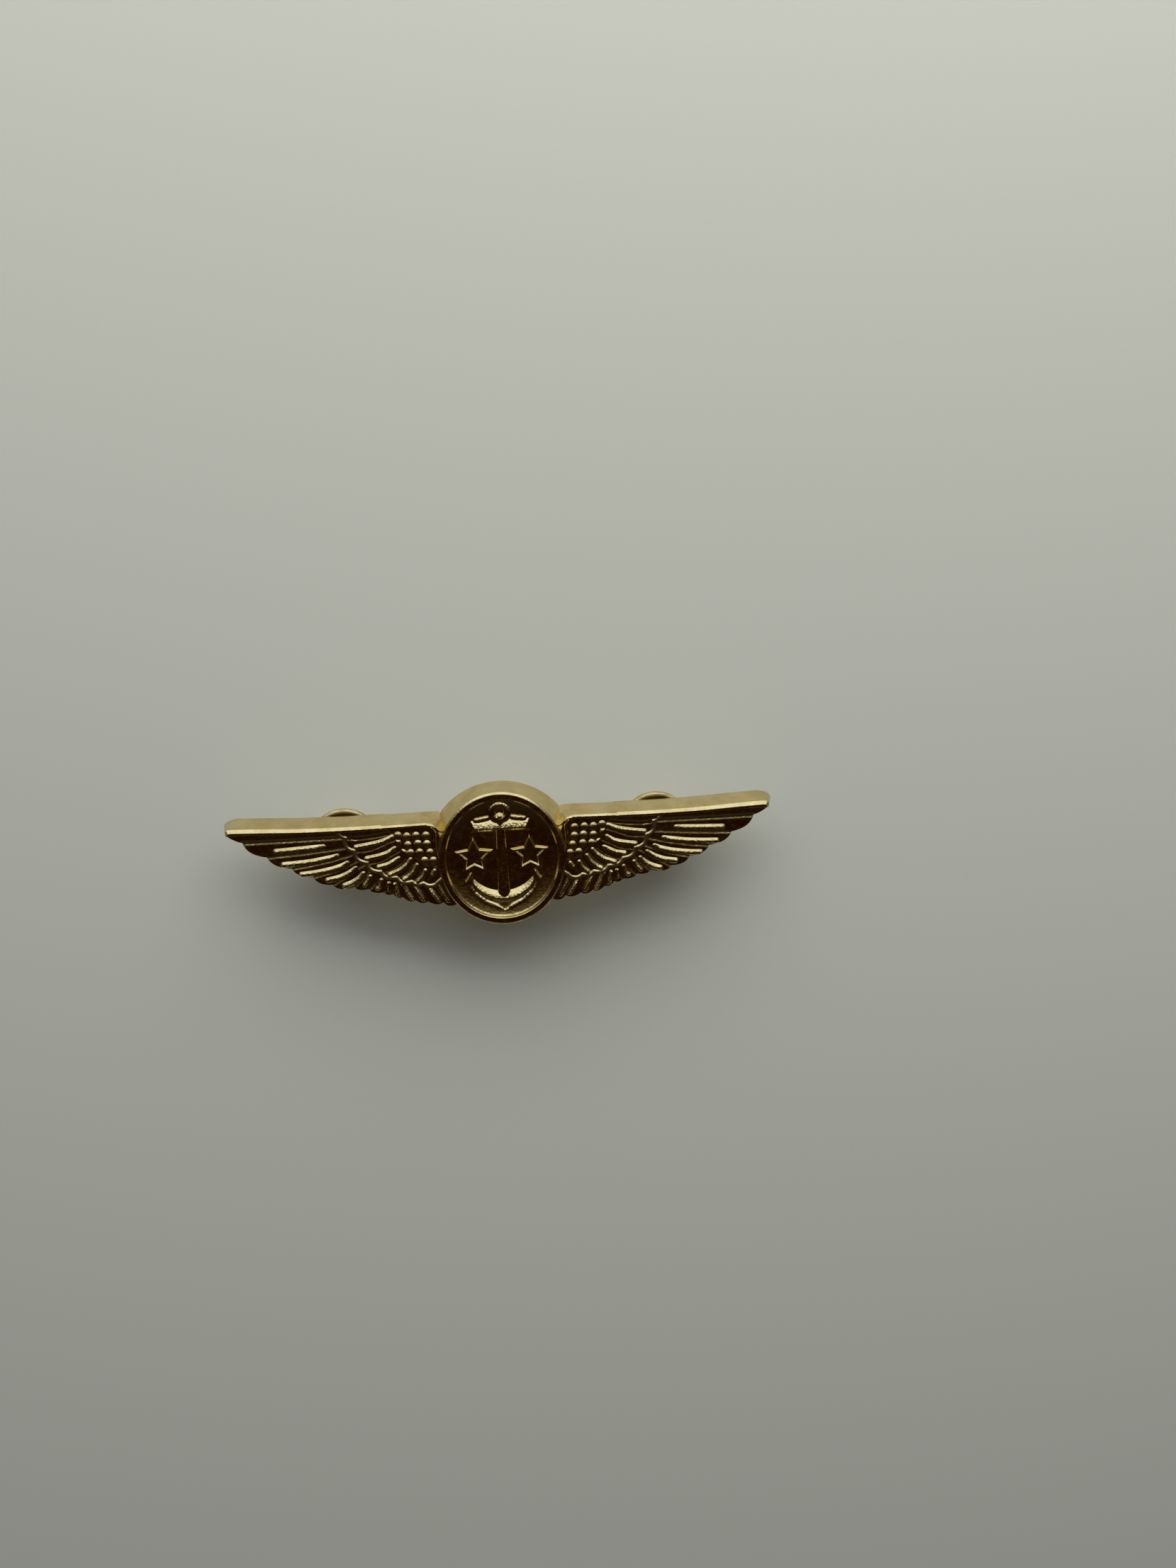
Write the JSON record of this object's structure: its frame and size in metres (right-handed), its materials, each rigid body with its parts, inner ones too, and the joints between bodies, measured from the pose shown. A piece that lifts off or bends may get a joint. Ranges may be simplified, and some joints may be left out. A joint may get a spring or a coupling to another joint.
{
  "type": "pilot wings pin",
  "caption": "Gold wings badge with feathered wings either side of an oval anchor medallion, held to cloth by pointed posts and butterfly clutches.",
  "frame": {"origin": "middle of the pin's box, on the level of the lowest edges of the clutch ears, with the pin face up", "axes": "+X along the wings to the viewer's right, +Y to the wings' leading edge, +Z out of the badge's face"},
  "size_m": [0.0698, 0.019, 0.0099],
  "materials": {
    "polished_gold": "polished gold plate over struck brass",
    "post_gold": "bright gold plate",
    "clutch_gold": "bright rolled brass sheet",
    "spring_wire": "drawn spring wire",
    "solder": "dull silver solder"
  },
  "bodies": {
    "badge": {"left_wing": "polished_gold", "right_wing": "polished_gold", "medallion": "polished_gold", "anchor": "polished_gold", "left_star": "polished_gold", "right_star": "polished_gold", "left_post": "post_gold", "right_post": "post_gold", "left_post_solder": "solder", "right_post_solder": "solder"},
    "left_clutch": {"left_clutch_base": "clutch_gold", "left_clutch_cover": "clutch_gold", "left_grip_spring": "spring_wire"},
    "left_outer_ear": {"left_outer_ear": "clutch_gold"},
    "left_inner_ear": {"left_inner_ear": "clutch_gold"},
    "right_clutch": {"right_clutch_base": "clutch_gold", "right_clutch_cover": "clutch_gold", "right_grip_spring": "spring_wire"},
    "right_outer_ear": {"right_outer_ear": "clutch_gold"},
    "right_inner_ear": {"right_inner_ear": "clutch_gold"}
  },
  "joints": [
    {"name": "left_clutch_pull", "type": "slide", "parent": "badge", "child": "left_clutch", "axis": [0, 0, -1], "range_m": [0, 0.0064]},
    {"name": "left_outer_ear_squeeze", "type": "hinge", "parent": "left_clutch", "child": "left_outer_ear", "pos_m": [-0.0213, 0.0022, 0.0036], "axis": [0, -1, 0], "range_deg": [0, 12], "stiffness_Nm_per_rad": 0.002},
    {"name": "left_inner_ear_squeeze", "type": "hinge", "parent": "left_clutch", "child": "left_inner_ear", "pos_m": [-0.0187, 0.0022, 0.0036], "axis": [0, 1, 0], "range_deg": [0, 12]},
    {"name": "right_clutch_pull", "type": "slide", "parent": "badge", "child": "right_clutch", "axis": [0, 0, -1], "range_m": [0, 0.0064]},
    {"name": "right_outer_ear_squeeze", "type": "hinge", "parent": "right_clutch", "child": "right_outer_ear", "pos_m": [0.0213, 0.0022, 0.0036], "axis": [0, 1, 0], "range_deg": [0, 12], "stiffness_Nm_per_rad": 0.002},
    {"name": "right_inner_ear_squeeze", "type": "hinge", "parent": "right_clutch", "child": "right_inner_ear", "pos_m": [0.0187, 0.0022, 0.0036], "axis": [0, -1, 0], "range_deg": [0, 12]}
  ],
  "couplings": [
    {"joint": "left_inner_ear_squeeze", "follows": "left_outer_ear_squeeze", "ratio": 1},
    {"joint": "right_inner_ear_squeeze", "follows": "right_outer_ear_squeeze", "ratio": 1}
  ]
}
